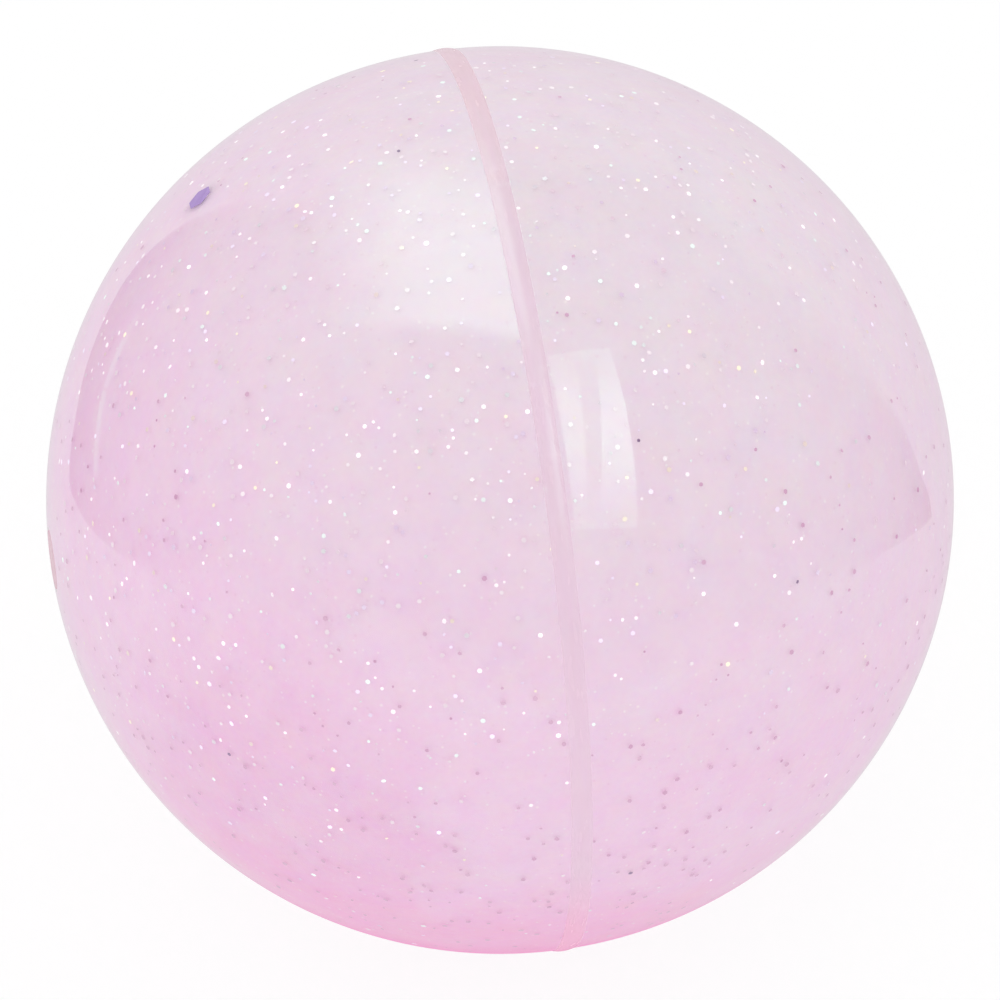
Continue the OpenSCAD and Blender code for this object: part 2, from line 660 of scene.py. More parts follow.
@dataclass(frozen=True)
class PearlLiquid:
    """Water with pearl pigment and fine glitter in it.

    The pigment scatters light like thin milk, so the liquid looks pink and deep but not clear. It is
    paler towards the top and a stronger pink towards the bottom and the -X, -Y side: partly pigment
    and partly painted light, paler where the lamps fall and deeper where light has come a long way
    through the pink. Glitter too fine to be cut as flakes here makes it sparkle in many faint hues. It
    has no gloss of its own, because the clear wall wets it.
    """

    name: str = "pearl_pigment_in_water"
    # Partly pigment and partly painted light: paler towards the top, where the lamps fall, and a deeper
    # pink towards the bottom and the -X, -Y side, where light has come a long way through the pink.
    shade: PinkShade = PinkShade("#EFD0E7", (
        Tint("#EDC5E1", (-0.7, -0.71, -0.06), 0.84),
        Tint("#F898D3", (-0.14, -0.13, -0.98), 0.35),
        Tint("#EADFE7", (0.319, 0.106, 0.942), 0.0),
    ))
    cloud_mm: float = 9.0
    cloud_share: float = 0.14
    mottle_mm: float = 2.4
    mottle_share: float = 0.24
    grain_mm: float = 0.45
    grain_share: float = 0.18
    fleck_mm: float = 0.45
    fleck_core: float = 0.12
    fleck_edge: float = 0.36
    bright_from: float = 0.74
    bright_share: float = 0.6
    deep_below: float = 0.22
    deep_share: float = 0.22
    cool_fleck: str = "#F2FAF8"
    warm_fleck: str = "#FCF6F0"
    deep_fleck: str = "#D79CC2"
    roughness: float = 0.8

    def make(self, liquid_r: float) -> bpy.types.Material:
        """Makes the material.

        Args:
            liquid_r: Radius of the liquid, over which the colour shades.

        Returns:
            The material.
        """
        material, tree = start_material(self.name)
        place = add_node(tree, "ShaderNodeTexCoord").outputs["Object"]
        shaded = self._pigment_and_painted_shade(tree, place, liquid_r)
        mottled = self._hues(tree, place, shaded, self.mottle_mm, self.mottle_share)
        grained = self._hues(tree, place, mottled, self.grain_mm, self.grain_share)
        flecked = self._flecks(tree, place, grained)
        liquid = add_node(
            tree,
            "ShaderNodeBsdfPrincipled",
            {"Base Color": flecked, "Roughness": self.roughness, "Specular IOR Level": 0.0},
        )
        end_material(tree, liquid)
        return material

    def _pigment_and_painted_shade(
        self, tree: Tree, place: Socket, liquid_r: float
    ) -> Socket:
        """Shades the pink from pale to deep, partly pigment and partly painted light, with soft clouds in
        it.

        Args:
            tree: Node tree of the material.
            place: Socket with the place on the surface.
            liquid_r: Radius of the liquid.

        Returns:
            Socket with the shaded colour.
        """
        clouds = add_node(
            tree,
            "ShaderNodeTexNoise",
            {"Vector": place, "Scale": per_metre(self.cloud_mm), "Detail": 3.0},
        )
        drift = add_node(
            tree,
            "ShaderNodeMapRange",
            {
                "Value": clouds.outputs[0],
                "To Min": -self.cloud_share * liquid_r,
                "To Max": self.cloud_share * liquid_r,
            },
        )
        return self.shade.colour(tree, place, liquid_r, drift.outputs["Result"])

    def _hues(
        self,
        tree: Tree,
        place: Socket,
        colour: Socket,
        size_mm: float,
        share: float,
    ) -> Socket:
        """Adds a faint pattern in many hues, as fine glitter gives when it is out of focus.

        Args:
            tree: Node tree of the material.
            place: Socket with the place on the surface.
            colour: Socket with the colour so far.
            size_mm: Size of the pattern in millimetres.
            share: How strong the pattern is.

        Returns:
            Socket with the patterned colour.
        """
        hues = add_node(
            tree, "ShaderNodeTexNoise", {"Vector": place, "Scale": per_metre(size_mm), "Detail": 2.0}
        )
        patterned = add_node(
            tree,
            "ShaderNodeMix",
            {MIX_FACTOR: share, MIX_A: colour, MIX_B: hues.outputs["Color"]},
            data_type="RGBA",
            blend_type="SOFT_LIGHT",
        )
        return patterned.outputs[MIX_RESULT]

    def _flecks(
        self,
        tree: Tree,
        place: Socket,
        colour: Socket,
    ) -> Socket:
        """Strews the finest glitter over the colour, some of it bright and some a deeper pink.

        Args:
            tree: Node tree of the material.
            place: Socket with the place on the surface.
            colour: Socket with the colour so far.

        Returns:
            Socket with the flecked colour.
        """
        cells = add_node(
            tree, "ShaderNodeTexVoronoi", {"Vector": place, "Scale": per_metre(self.fleck_mm)}
        )
        draw = add_node(tree, "ShaderNodeSeparateColor", {"Color": cells.outputs["Color"]})
        edge = add_node(
            tree,
            "ShaderNodeMapRange",
            {"Value": draw.outputs["Blue"], "To Min": self.fleck_core, "To Max": self.fleck_edge},
        )
        dot = add_node(
            tree,
            "ShaderNodeMapRange",
            {
                "Value": cells.outputs["Distance"],
                "From Min": edge.outputs["Result"],
                "From Max": 0.0,
            },
        )
        bright = add_node(
            tree,
            "ShaderNodeMix",
            {
                MIX_FACTOR: draw.outputs["Green"],
                MIX_A: linear(self.cool_fleck),
                MIX_B: linear(self.warm_fleck),
            },
            data_type="RGBA",
        )
        for test, limit, strength, fleck in (
            ("GREATER_THAN", self.bright_from, self.bright_share, bright.outputs[MIX_RESULT]),
            ("LESS_THAN", self.deep_below, self.deep_share, linear(self.deep_fleck)),
        ):
            chosen = add_node(tree, "ShaderNodeMath", {0: draw.outputs["Red"], 1: limit}, operation=test)
            share = chosen.outputs[0]
            for factor in (dot.outputs["Result"], strength):
                share = add_node(
                    tree, "ShaderNodeMath", {0: share, 1: factor}, operation="MULTIPLY"
                ).outputs[0]
            colour = add_node(
                tree, "ShaderNodeMix", {MIX_FACTOR: share, MIX_A: colour, MIX_B: fleck}, data_type="RGBA"
            ).outputs[MIX_RESULT]
        return colour


@dataclass(frozen=True)
class GlitterFilm:
    """Metallised polyester film, die-cut into hexagons.

    A flake mirrors the lights and the room a little, and no two flakes of one colour are quite alike:
    each takes a colour at random between its light and its shade colour. Where the film has a painted
    glint, the flakes nearest the light colour also glow a little of themselves, as if they mirrored a lamp.
    """

    name: str
    light: str
    shade: str
    painted_glint: float = 0.0
    painted_glint_below: float = 0.55
    metallic: float = 0.1
    roughness: float = 0.25

    def make(self) -> bpy.types.Material:
        """Makes the material."""
        material, tree = start_material(self.name)
        flake = add_node(tree, "ShaderNodeNewGeometry").outputs["Random Per Island"]
        tint = add_node(
            tree,
            "ShaderNodeMix",
            {MIX_FACTOR: flake, MIX_A: linear(self.light), MIX_B: linear(self.shade)},
            data_type="RGBA",
        )
        film = add_node(
            tree,
            "ShaderNodeBsdfPrincipled",
            {
                "Base Color": tint.outputs[MIX_RESULT],
                "Metallic": self.metallic,
                "Roughness": self.roughness,
            },
        )
        # Painted glint: a random share of the flakes glows a little in its own colour, as if it mirrored a
        # lamp.
        if self.painted_glint:
            painted_glint = add_node(
                tree,
                "ShaderNodeMapRange",
                {"Value": flake, "From Min": self.painted_glint_below, "From Max": 0.0, "To Max": self.painted_glint},
            )
            tree.links.new(tint.outputs[MIX_RESULT], film.inputs["Emission Color"])
            tree.links.new(painted_glint.outputs["Result"], film.inputs["Emission Strength"])
        end_material(tree, film)
        return material


class Half(Enum):
    """The two moulded halves of the wall, by the side that they lie on."""

    LEFT = "left"
    RIGHT = "right"


@dataclass
class ClearWall:
    """Thick clear wall of two moulded halves, with a rebate for the weld round each rim."""

    sizes: BallSizes
    hole_play_mm: float = 0.05
    edge_round_mm: float = 0.015
    edge_steps: int = 3
    guard_steps: int = 2
    arc_steps: int = 72
    turn_steps: int = 256
    rubber: ClearRubber = ClearRubber()

    def build(self) -> None:
        """Builds both halves and dresses them."""
        skin = self.rubber.make()
        wetted = self.rubber.make_wetted()
        for half in Half:
            mesh = self._half(half)
            self._number_faces(mesh)
            piece = add_object(half.value + "_wall", mesh, [skin, wetted])
            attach(piece, "shell")
            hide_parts(half.value + "_half_shell")
            LOG.info("%s: clear half with %d faces", piece.name, len(piece.data.polygons))

    def _half(self, half: Half) -> bmesh.types.BMesh:
        """Turns one half, on its own side.

        Args:
            half: Which half to make.

        Returns:
            The half, with the edge beside the weld rounded.
        """
        ball_r = self.sizes.ball_r
        cavity_r = self.sizes.cavity_r
        rim_x = self.sizes.rim_x
        band_x = self.sizes.band_x
        bed_r = self.sizes.bed_r
        head_r = 0.0
        stem_r = 0.0
        if half is Half.LEFT:
            head_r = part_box("fill_plug")[1].z + self.hole_play_mm * MM
            stem_r = self.sizes.stem_r + self.hole_play_mm * MM

        outer_start = math.acos(head_r / ball_r)
        outer_end = math.asin(band_x / ball_r)
        guard = self.guard_steps * 2 * self.edge_round_mm * MM / ball_r
        inner_start = math.asin(rim_x / cavity_r)
        inner_end = math.acos(stem_r / cavity_r)

        outline = Section(math.sqrt(ball_r**2 - head_r**2), head_r)
        outline.arc((0, 0), outer_end + guard - outer_start, self.arc_steps)
        outline.arc((0, 0), -guard, self.guard_steps)
        outline.line_to(band_x, bed_r)
        outline.line_to(rim_x, bed_r)
        outline.line_to(rim_x, math.sqrt(cavity_r**2 - rim_x**2))
        outline.arc((0, 0), inner_end - inner_start, self.arc_steps)
        if half is Half.LEFT:
            seat_x = -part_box("plug_bond")[1].x
            outline.line_to(seat_x, stem_r)
            outline.line_to(seat_x, head_r)
            outline.close()
        mesh = outline.turn(self.turn_steps, mirrored=half is Half.LEFT)

        rim_edges = [
            edge for edge in mesh.edges
            if all(
                abs(abs(v.co.x) - band_x) < SNAP and abs(v.co.length - ball_r) < SNAP for v in edge.verts
            )
        ]
        bmesh.ops.bevel(
            mesh,
            geom=rim_edges,
            offset=self.edge_round_mm * MM,
            affect="EDGES",
            segments=self.edge_steps,
            profile=0.5,
            material=-1,
        )
        return mesh

    def _number_faces(self, mesh: bmesh.types.BMesh) -> None:
        """Gives the skin the first material, and the faces inside the wall the second.

        Args:
            mesh: Mesh of a half.
        """
        skin_from = self.sizes.ball_r - 2 * self.edge_round_mm * MM
        for face in mesh.faces:
            face.material_index = 0 if all(v.co.length > skin_from for v in face.verts) else 1


@dataclass
class Weld:
    """Weld between the halves: a crowned band on the skin, a film between the rims and a roll inside."""

    sizes: BallSizes
    roll_w_mm: float = 1.2
    roll_proud_mm: float = 0.2
    wave_mm: float = 4.0
    wave_share: float = 0.015
    crown_steps: int = 12
    turn_steps: int = 360
    band_rubber: WeldRubber = WeldRubber("remelted_thermoplastic_rubber", Veil(0.6), True)
    film_rubber: WeldRubber = WeldRubber("thin_remelted_thermoplastic_rubber", Veil(0.35), False)

    def build(self) -> None:
        """Builds the ring and dresses it."""
        mesh = self._ring()
        self._press_out(mesh)
        self._number_faces(mesh)
        finishes = [rubber.make(self.sizes.ball_r) for rubber in (self.band_rubber, self.film_rubber)]
        piece = add_object("weld_ring", mesh, finishes)
        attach(piece, "shell")
        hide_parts("seam_weld")
        LOG.info("%s: weld with %d faces", piece.name, len(piece.data.polygons))

    def _ring(self) -> bmesh.types.BMesh:
        """Turns the weld's section about the ball's axis.

        Returns:
            The ring.
        """
        ball_r = self.sizes.ball_r
        cavity_r = self.sizes.cavity_r
        bed_r = self.sizes.bed_r
        band_x = self.sizes.band_x
        film_x = self.sizes.rim_x
        crest_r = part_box("seam_weld")[1].z
        edge_r = math.sqrt(ball_r**2 - band_x**2)
        rise = crest_r - edge_r
        crown_r = (band_x**2 + rise**2) / (2 * rise)
        crown_half = math.asin(band_x / crown_r)
        film_r = math.sqrt(cavity_r**2 - film_x**2)
        roll_x = self.roll_w_mm * MM / 2
        roll_r = math.sqrt(cavity_r**2 - roll_x**2)
        crest_in = cavity_r - self.roll_proud_mm * MM
        roll_rise = roll_r - crest_in
        roll_bend = (roll_x**2 + roll_rise**2) / (2 * roll_rise)
        roll_half = math.asin(roll_x / roll_bend)

        outline = Section(-band_x, bed_r)
        outline.line_to(-band_x, edge_r)
        outline.arc((0, crest_r - crown_r), 2 * crown_half, self.crown_steps)
        outline.line_to(band_x, bed_r)
        outline.line_to(film_x, bed_r)
        outline.line_to(film_x, film_r)
        outline.line_to(roll_x, roll_r)
        outline.arc((0, crest_in + roll_bend), 2 * roll_half, self.crown_steps)
        outline.line_to(-film_x, film_r)
        outline.line_to(-film_x, bed_r)
        outline.close()
        return outline.turn(self.turn_steps)

    def _press_out(self, mesh: bmesh.types.BMesh) -> None:
        """Draws the band's edges in by an uneven amount, as melt is pressed out unevenly.

        Args:
            mesh: Mesh of the ring.
        """
        for vert in mesh.verts:
            if abs(vert.co.x) > self.sizes.rim_x + SNAP and vert.co.length > self.sizes.bed_r - SNAP:
                wave = noise.noise(vert.co / (self.wave_mm * MM))
                vert.co.x *= 1 - self.wave_share * (1 + wave) / 2

    def _number_faces(self, mesh: bmesh.types.BMesh) -> None:
        """Gives the band's crown the first material, and the faces inside the wall the second.

        Args:
            mesh: Mesh of the ring.
        """
        crown_from = math.hypot(self.sizes.ball_r, SNAP) - SNAP
        for face in mesh.faces:
            face.material_index = 0 if all(v.co.length > crown_from for v in face.verts) else 1


@dataclass
class FillingPlug:
    """Mushroom plug in the left pole, on its ring of adhesive."""

    sizes: BallSizes
    lead_in_mm: float = 0.6
    head_round_mm: float = 0.3
    round_steps: int = 4
    arc_steps: int = 12
    turn_steps: int = 64
    rubber: PlugRubber = PlugRubber()
    adhesive: Adhesive = Adhesive()

    def build(self, bond: bpy.types.Object) -> None:
        """Builds the plug and dresses it and the adhesive.

        Args:
            bond: Node of the adhesive ring.
        """
        piece = add_object("mushroom_plug", self._plug(), [self.rubber.make()])
        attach(piece, "shell")
        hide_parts("fill_plug")
        dress_node(bond, self.adhesive.make())
        LOG.info("%s: plug with %d faces, on %s", piece.name, len(piece.data.polygons), bond.name)

    def _plug(self) -> bmesh.types.BMesh:
        """Turns the plug, with the edge of its head rounded.

        Returns:
            The plug, on the -X side.
        """
        low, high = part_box("fill_plug")
        ball_r = -low.x
        tip_x = -high.x
        head_r = high.z
        head_x = -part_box("plug_bond")[0].x
        stem_r = self.sizes.stem_r
        lead_in = self.lead_in_mm * MM
        head_reach = math.asin(head_r / ball_r)

        outline = Section(ball_r, 0)
        outline.arc((0, 0), -head_reach, self.arc_steps)
        outline.line_to(head_x, head_r)
        outline.line_to(head_x, stem_r)
        outline.line_to(tip_x + lead_in, stem_r)
        outline.line_to(tip_x, stem_r - lead_in / 2)
        outline.line_to(tip_x, 0)
        plug = outline.turn(self.turn_steps, mirrored=True)
        brim = [
            edge for edge in plug.edges
            if all(
                abs(v.co.length - ball_r) < SNAP and abs(v.co.yz.length - head_r) < SNAP for v in edge.verts
            )
        ]
        bmesh.ops.bevel(
            plug,
            geom=brim,
            offset=self.head_round_mm * MM,
            affect="EDGES",
            segments=self.round_steps,
            profile=0.5,
            material=-1,
        )
        return plug


class GlitterColour(Enum):
    """Colours of glitter in the liquid."""

    PEARL = "pearl"
    ROSE = "rose"
    MINT = "mint"
    LILAC = "lilac"
    GOLD = "gold"
    VIOLET = "violet"


@dataclass(frozen=True)
class Batch:
    """Glitter of one colour: its film, how many flakes, how wide, and where it lies thin.

    The thin share of the flakes is missing on the side of the thin way, less so towards the other side.
    """

    colour: GlitterColour
    film: GlitterFilm
    count: int
    narrow_mm: float = 0.13
    wide_mm: float = 0.32
    thin_share: float = 0.9
    thin_from: float = 0.95
    thin_way: Way = (0.5, 0.0, -1.0)

    def is_thinned(self, way: Vector, chance: float) -> bool:
        """Whether a flake in a direction is left out, by a chance from 0 to 1."""
        thinness = min(1, max(0, self.thin_from + way.dot(Vector(self.thin_way))))
        return chance < self.thin_share * thinness


@dataclass
class Filling:
    """Pink liquid, and the glitter that hangs in it close to the wall."""

    flake_t_mm: float = 0.03
    float_mm: float = 0.29
    spacing_mm: float = 0.5
    lean_deg: float = 14.0
    lean_limit_deg: float = 34.0
    seed: int = 29
    ball_subdivisions: int = 7
    liquid: PearlLiquid = PearlLiquid()
    sequin_film: GlitterFilm = GlitterFilm("violet_sequin_film", "#AD8CD6", "#9A76C8")
    # All but the rose flakes are left out mostly towards the bottom and the +X side, the rose flakes
    # towards the top, so sparkle gathers at the top and dark flecks below; this is partly painted light,
    # flakes catching the lamps above and lying in shade below.
    batches: list[Batch] = field(default_factory=lambda: [
        Batch(GlitterColour.PEARL, GlitterFilm("pearl_film", "#FFFFFF", "#F3DFEC", 0.35), 900),
        Batch(
            GlitterColour.ROSE,
            GlitterFilm("rose_film", "#E4C0D8", "#D8AACA"),
            1100,
            thin_share=0.93,
            thin_from=0.2,
            thin_way=(0.0, 0.0, 1.1),
        ),
        Batch(GlitterColour.MINT, GlitterFilm("mint_film", "#EAFFF6", "#EADFEA", 0.3), 260),
        Batch(GlitterColour.LILAC, GlitterFilm("lilac_film", "#F4EDFF", "#EBD6EE", 0.3), 340),
        Batch(GlitterColour.GOLD, GlitterFilm("gold_film", "#FFFCDC", "#F2DFDF", 0.3), 140),
        Batch(GlitterColour.VIOLET, GlitterFilm("violet_film", "#8A7694", "#A68EAE"), 14, 0.2, 0.28),
    ])

    def build(self, sequins: bpy.types.Object) -> None:
        """Builds the liquid and its glitter and dresses them.

        Args:
            sequins: Node of the large sequins.
        """
        liquid_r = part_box("glitter_liquid")[1].x
        mesh = bmesh.new()
        bmesh.ops.create_icosphere(mesh, subdivisions=self.ball_subdivisions, radius=liquid_r)
        piece = add_object("pink_liquid", mesh, [self.liquid.make(liquid_r)])
        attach(piece, "filling")
        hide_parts("glitter_liquid")
        LOG.info("%s: liquid with %d faces", piece.name, len(piece.data.polygons))

        dress_node(sequins, self.sequin_film.make())
        draw = random.Random(self.seed)
        taken: Cells = {}
        for batch in self.batches:
            self._strew(batch, liquid_r + self.float_mm * MM, draw, taken)

    def _strew(
        self, batch: Batch, radius: float, draw: random.Random, taken: Cells
    ) -> None:
        """Builds all the flakes of one colour as one piece.

        Args:
            batch: Which glitter to strew.
            radius: Distance of the flakes from the ball's centre.
            draw: Source of chance.
            taken: Directions of the flakes made so far by their cell, which grows.
        """
        mesh = bmesh.new()
        for way in self._places(batch, radius, draw, taken):
            lean = min(abs(draw.gauss(0, self.lean_deg)), self.lean_limit_deg)
            width = draw.uniform(batch.narrow_mm, batch.wide_mm) * MM
            turn = (
                Matrix.Translation(way * radius)
                @ way.to_track_quat("Z", "Y").to_matrix().to_4x4()
                @ Matrix.Rotation(draw.uniform(0, FULL_TURN), 4, "Z")
                @ Matrix.Rotation(math.radians(lean), 4, "X")
            )
            corner = width / 2 / math.cos(HEX_HALF_ANGLE)
            bmesh.ops.create_cone(
                mesh,
                cap_ends=True,
                segments=HEX_SIDES,
                radius1=corner,
                radius2=corner,
                depth=self.flake_t_mm * MM,
                matrix=turn,
            )
        piece = add_object(batch.colour.value + "_flakes", mesh, [batch.film.make()])
        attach(piece, "filling")
        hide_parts("glitter_" + batch.colour.value)
        LOG.info("%s: %d flakes", piece.name, batch.count)

    def _places(
        self, batch: Batch, radius: float, draw: random.Random, taken: Cells
    ) -> Iterator[Vector]:
        """Draws the directions of a batch's flakes, each clear of the others.

        Args:
            batch: Which glitter to place.
            radius: Distance of the flakes from the ball's centre.
            draw: Source of chance.
            taken: Directions of the flakes made so far by their cell, which grows.

        Yields:
            Unit vector towards each flake.
        """
        apart = self.spacing_mm * MM / radius
        made = 0
        while made < batch.count:
            way = Vector((draw.gauss(0, 1), draw.gauss(0, 1), draw.gauss(0, 1))).normalized()
            if batch.is_thinned(way, draw.random()):
                continue
            cell = tuple(math.floor(part / apart) for part in way)
            near = [
                other
                for step in product((-1, 0, 1), repeat=3)
                for other in taken.get(tuple(map(add, cell, step)), [])
            ]
            if any((way - other).length < apart for other in near):
                continue
            taken.setdefault(cell, []).append(way)
            made += 1
            yield way


@dataclass(frozen=True)
class Viewpoint:
    """The photograph's viewpoint, and where its pixels lie on the ball."""

    azimuth_deg: float = -10.1
    elevation_deg: float = 48.4
    distance: float = 0.65
    sensor_mm: float = 36.0
    lens_mm: float = 326.4
    frame_px: float = 1000.0

    def axes(self) -> tuple[Vector, Vector, Vector]:
        """Directions to the right, up and towards the viewer."""
        azimuth = math.radians(self.azimuth_deg)
        elevation = math.radians(self.elevation_deg)
        toward = Vector((
            math.sin(azimuth) * math.cos(elevation),
            -math.cos(azimuth) * math.cos(elevation),
            math.sin(elevation),
        ))
        right = Vector((math.cos(azimuth), math.sin(azimuth), 0))
        return right, toward.cross(right), toward

    def add_camera(self) -> None:
        """Adds the camera and makes it the scene's own."""
        data = bpy.data.cameras.new("photo_view")
        data.sensor_width = self.sensor_mm
        data.lens = self.lens_mm
        camera = bpy.data.objects.new("photo_view", data)
        toward = self.axes()[2]
        camera.location = toward * self.distance
        camera.rotation_euler = (-toward).to_track_quat("-Z", "Y").to_euler()
        bpy.context.scene.collection.objects.link(camera)
        bpy.context.scene.camera = camera

    def mirrored(self, pixel: Pixel, ball_r: float, reach: float) -> Vector:
        """Finds the point whose mirror image on the skin lies at a pixel.

        Args:
            pixel: Pixel of the photograph, from its top left corner.
            ball_r: Radius of the skin.
            reach: Distance from the skin to the point.

        Returns:
            The point.
        """
        right, up, toward = self.axes()
        half = self.frame_px / 2
        spread = self.sensor_mm / self.lens_mm / 2 / half
        ray = (right * (pixel[0] - half) + up * (half - pixel[1])) * spread - toward
        ray.normalize()
        eye = toward * self.distance
        along = -eye.dot(ray)
        hit = eye + ray * (along - math.sqrt(along**2 - eye.dot(eye) + ball_r**2))
        return hit + ray.reflect(hit.normalized()) * reach


@dataclass(frozen=True)
class Card:
    """Bright card beside the ball, placed by the corners of its mirror image in the photograph.

    Corners run anticlockwise from the lower left. Soft shares are how far the card fades in from its
    left, right, lower and upper edge.
    """

    name: str
    corners_px: tuple[Pixel, ...]
    radiance: float
    soft_shares: tuple[float, float, float, float] = (0.02, 0.02, 0.02, 0.02)
    colour: str = "#D3FFE6"
    reach: float = 0.3
    grid_steps: int = 8

    def make_light(self) -> bpy.types.Material:
        """Makes the glow of the card, which fades out at its edges."""
        material, tree = start_material(self.name)
        sides = add_node(
            tree, "ShaderNodeSeparateXYZ", {0: add_node(tree, "ShaderNodeTexCoord").outputs["UV"]}
        )
        left, right, lower, upper = self.soft_shares
        cover: Socket | None = None
        for axis, start, end in (("X", 0, left), ("X", 1, 1 - right), ("Y", 0, lower), ("Y", 1, 1 - upper)):
            fade = add_node(
                tree,
                "ShaderNodeMapRange",
                {"Value": sides.outputs[axis], "From Min": start, "From Max": end},
                interpolation_type="SMOOTHSTEP",
            ).outputs["Result"]
            if cover is not None:
                fade = add_node(
                    tree, "ShaderNodeMath", {0: cover, 1: fade}, operation="MULTIPLY"
                ).outputs[0]
            cover = fade
        glow = add_node(
            tree, "ShaderNodeEmission", {"Color": linear(self.colour), "Strength": self.radiance}
        )
        clear = add_node(tree, "ShaderNodeBsdfTransparent")
        faded = add_node(tree, "ShaderNodeMixShader", {0: cover, 1: clear.outputs[0], 2: glow.outputs[0]})
        end_material(tree, faded)
        return material

    def build(self, view: Viewpoint, ball_r: float) -> bpy.types.Object:
        """Builds the card where its mirror image fits the photograph.

        Args:
            view: Viewpoint of the photograph.
            ball_r: Radius of the skin.

        Returns:
            The card.
        """
        corners = [view.mirrored(pixel, ball_r, self.reach) for pixel in self.corners_px]
        mesh = bmesh.new()
        mesh.loops.layers.uv.new("UVMap")
        bmesh.ops.create_grid(
            mesh, x_segments=self.grid_steps, y_segments=self.grid_steps, size=1, calc_uvs=True
        )
        for vert in mesh.verts:
            across = (vert.co.x + 1) / 2
            rise = (vert.co.y + 1) / 2
            lower = corners[0].lerp(corners[1], across)
            upper = corners[3].lerp(corners[2], across)
            vert.co = lower.lerp(upper, rise)
        return add_object(self.name, mesh, [self.make_light()])


@dataclass(frozen=True)
class DimRoom:
    """The dim room past the paper, placed by the outline of its mirror image in the photograph.

    The outline runs down the left side, along the bottom, up the right side and back over the top. It
    is crisp at the sides and soft elsewhere.
    """

    left_px: tuple[Pixel, ...] = (
        (150, 250), (124, 281), (102, 323), (86, 366), (75, 418), (70, 455), (69, 487), (78, 510),
        (97, 537), (117, 553),
    )
    bottom_px: tuple[Pixel, ...] = (
        (200, 600), (330, 650), (440, 692), (550, 710), (650, 692), (750, 650), (830, 600),
    )
    right_px: tuple[Pixel, ...] = ((882, 554), (910, 537), (932, 518), (930, 500), (921, 475))
    top_px: tuple[Pixel, ...] = (
        (880, 380), (830, 310), (760, 250), (700, 180), (610, 145), (520, 130), (400, 150), (270, 195),
    )
    middle_px: Pixel = (500, 450)
    crisp_share: float = 0.02
    soft_share: float = 0.3
    colour: str = "#A4708F"
    reach: float = 2.0

    def make_dark(self) -> bpy.types.Material:
        """Makes the room's own glow, which fades in from its outline."""
        material, tree = start_material("dim_room")
        inside = add_node(tree, "ShaderNodeAttribute", attribute_name="inside")
        soft = add_node(tree, "ShaderNodeAttribute", attribute_name="soft")
        cover = add_node(
            tree,
            "ShaderNodeMapRange",
            {"Value": inside.outputs["Fac"], "From Min": 0.0, "From Max": soft.outputs["Fac"]},
            interpolation_type="SMOOTHSTEP",
        ).outputs["Result"]
        glow = add_node(tree, "ShaderNodeEmission", {"Color": linear(self.colour), "Strength": 1.0})
        clear = add_node(tree, "ShaderNodeBsdfTransparent")
        faded = add_node(tree, "ShaderNodeMixShader", {0: cover, 1: clear.outputs[0], 2: glow.outputs[0]})
        end_material(tree, faded)
        return material

    def build(self, view: Viewpoint, ball_r: float) -> bpy.types.Object:
        """Builds the room as a fan of faces where its mirror image fits the photograph.

        Args:
            view: Viewpoint of the photograph.
            ball_r: Radius of the skin.

        Returns:
            The room.
        """
        mesh = bmesh.new()
        inside = mesh.verts.layers.float.new("inside")
        soft = mesh.verts.layers.float.new("soft")
        rim = []
        for side in (self.left_px, self.bottom_px, self.right_px, self.top_px):
            share = self.crisp_share if side in (self.left_px, self.right_px) else self.soft_share
            for pixel in side:
                vert = mesh.verts.new(view.mirrored(pixel, ball_r, self.reach))
                vert[soft] = share
                rim.append(vert)
        mesh.faces.new(rim)
        middle = bmesh.ops.poke(mesh, faces=mesh.faces)["verts"][0]
        middle.co = view.mirrored(self.middle_px, ball_r, self.reach)
        middle[inside] = 1.0
        middle[soft] = self.soft_share
        return add_object("dim_room", mesh, [self.make_dark()])


